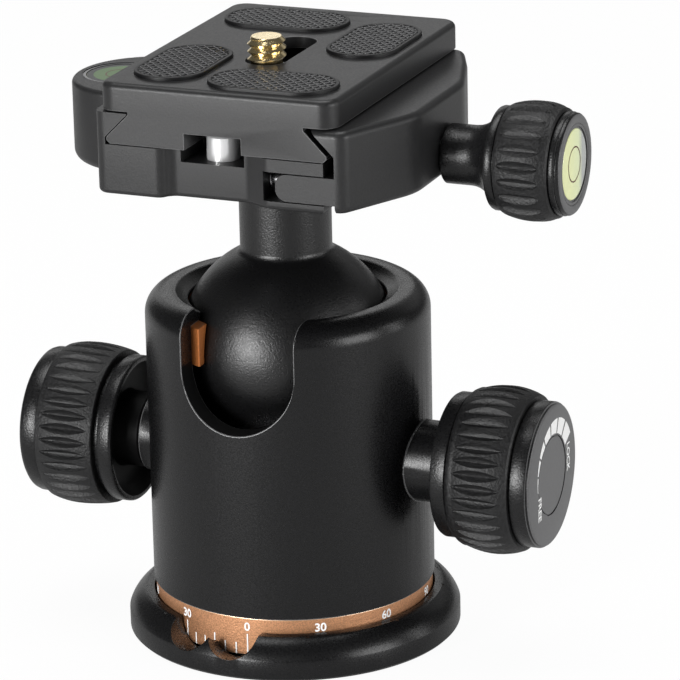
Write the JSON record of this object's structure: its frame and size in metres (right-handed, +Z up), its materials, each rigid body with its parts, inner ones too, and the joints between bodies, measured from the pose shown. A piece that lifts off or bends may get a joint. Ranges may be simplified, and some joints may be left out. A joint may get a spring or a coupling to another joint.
{
  "type": "tripod ball head",
  "caption": "Ball head for a tripod: a lockable ball and stem in a panning cup with a drop notch, carrying a dovetail quick-release clamp and plate with a camera screw.",
  "frame": {"origin": "centre of the base's underside, at the mouth of the tripod thread", "axes": "+Z up along the pan axis and the upright stem; +X towards the lock knob and the clamp knob; -Y towards the drop notch"},
  "size_m": [0.0956, 0.0566, 0.1035],
  "materials": {
    "black_anodised": "satin black anodised",
    "ball_black": "fine satin black anodised",
    "knob_rubber": "soft matte rubber",
    "knob_face": "satin black anodised",
    "scale_copper": "satin copper-coloured anodised",
    "seat_orange": "smooth orange bearing plastic",
    "bearing_plastic": "smooth white bearing plastic",
    "plain_aluminium": "machined",
    "steel": "machined",
    "pin_chrome": "polished",
    "brass": "turned",
    "bezel_black": "gloss black",
    "level_glass": "clear, with green liquid",
    "pad_rubber": "textured rubber"
  },
  "bodies": {
    "base": {"pan_base": "black_anodised", "thread_insert": "steel", "reducer_bushing": "brass", "pan_washer": "bearing_plastic", "pan_pivot": "steel", "base_screws": "steel"},
    "housing": {"housing": "black_anodised", "scale_ring": "scale_copper", "floor_plate": "plain_aluminium", "glide_washer": "bearing_plastic", "seat_ring": "seat_orange", "guide_block": "plain_aluminium", "lock_bush": "brass", "brake_bush": "brass"},
    "lock_knob": {"lock_knob_grip": "knob_rubber", "lock_knob_hub": "plain_aluminium", "lock_knob_cap": "knob_face", "lock_screw": "steel", "lock_knob_screw": "steel"},
    "lock_wedge": {"lock_wedge": "steel"},
    "lower_seat": {"lower_seat": "bearing_plastic"},
    "pan_knob": {"pan_knob_grip": "knob_rubber", "pan_knob_hub": "plain_aluminium", "pan_knob_cap": "knob_face", "brake_screw": "steel", "pan_knob_screw": "steel"},
    "brake_pin": {"brake_pin": "brass"},
    "ball": {"ball": "ball_black", "clamp_bolt": "steel"},
    "clamp": {"clamp_body": "black_anodised", "level_bezel": "bezel_black", "level_vial": "level_glass", "stop_plug": "plain_aluminium", "stop_spring": "steel", "jaw_springs": "steel"},
    "stop_pin": {"stop_pin": "pin_chrome"},
    "jaw": {"jaw": "black_anodised", "spring_pins": "steel"},
    "clamp_knob": {"clamp_knob_grip": "knob_rubber", "clamp_knob_cap": "knob_face", "knob_level_bezel": "bezel_black", "knob_level_vial": "level_glass", "clamp_screw": "steel"},
    "plate": {"plate": "black_anodised", "front_pad": "pad_rubber", "rear_pad": "pad_rubber", "left_pad": "pad_rubber", "right_pad": "pad_rubber"},
    "screw_slider": {"screw_slider": "steel"},
    "camera_screw": {"camera_screw": "brass"}
  },
  "joints": [
    {"name": "pan", "type": "hinge", "parent": "base", "child": "housing", "pos_m": [0, 0, 0.0068], "axis": [0, 0, 1], "continuous": true},
    {"name": "lock_turn", "type": "hinge", "parent": "housing", "child": "lock_knob", "pos_m": [0, 0, 0.0314], "axis": [-1, 0, 0], "range_deg": [-120, 90]},
    {"name": "wedge_slide", "type": "slide", "parent": "housing", "child": "lock_wedge", "axis": [1, 0, 0], "range_m": [-0.000333, 0.000249]},
    {"name": "seat_lift", "type": "slide", "parent": "housing", "child": "lower_seat", "axis": [0, 0, 1], "range_m": [-0.000071, 0.0000532]},
    {"name": "pan_lock_turn", "type": "hinge", "parent": "housing", "child": "pan_knob", "pos_m": [0, 0, 0.031], "axis": [1, 0, 0], "range_deg": [-60, 180]},
    {"name": "brake_slide", "type": "slide", "parent": "housing", "child": "brake_pin", "axis": [0, 0, 1], "range_m": [-0.000349, 0.000116]},
    {"name": "tilt", "type": "hinge", "parent": "housing", "child": "ball", "pos_m": [0, 0, 0.0496], "axis": [1, 0, 0], "range_deg": [-37, 90]},
    {"name": "spin", "type": "hinge", "parent": "ball", "child": "clamp", "pos_m": [0, 0, 0.0811], "axis": [0, 0, 1], "continuous": true},
    {"name": "stop_pin_press", "type": "slide", "parent": "clamp", "child": "stop_pin", "axis": [0, 0, 1], "range_m": [-0.0022, 0], "stiffness_N_per_m": 300, "springref_m": 0.002, "deforming": ["stop_spring"]},
    {"name": "jaw_slide", "type": "slide", "parent": "clamp", "child": "jaw", "axis": [1, 0, 0], "range_m": [-0.0011, 0.003]},
    {"name": "clamp_knob_turn", "type": "hinge", "parent": "jaw", "child": "clamp_knob", "pos_m": [0.0291, 0, 0.08475], "axis": [-1, 0, 0], "range_deg": [-1350, 495]},
    {"name": "plate_slide", "type": "slide", "parent": "clamp", "child": "plate", "axis": [0, 1, 0], "range_m": [-0.0037, 0.03]},
    {"name": "clip_slide", "type": "slide", "parent": "plate", "child": "screw_slider", "axis": [0, 1, 0], "range_m": [0, 0.012]},
    {"name": "screw_turn", "type": "hinge", "parent": "screw_slider", "child": "camera_screw", "pos_m": [0, -0.0059, 0.0967], "axis": [0, 0, 1], "continuous": true}
  ],
  "couplings": [
    {"joint": "lock_turn", "follows": "wedge_slide", "rad_per_m": 6283.2},
    {"joint": "seat_lift", "follows": "wedge_slide", "ratio": 0.21256},
    {"joint": "pan_lock_turn", "follows": "brake_slide", "rad_per_m": -8976},
    {"joint": "clamp_knob_turn", "follows": "jaw_slide", "rad_per_m": -7854}
  ]
}
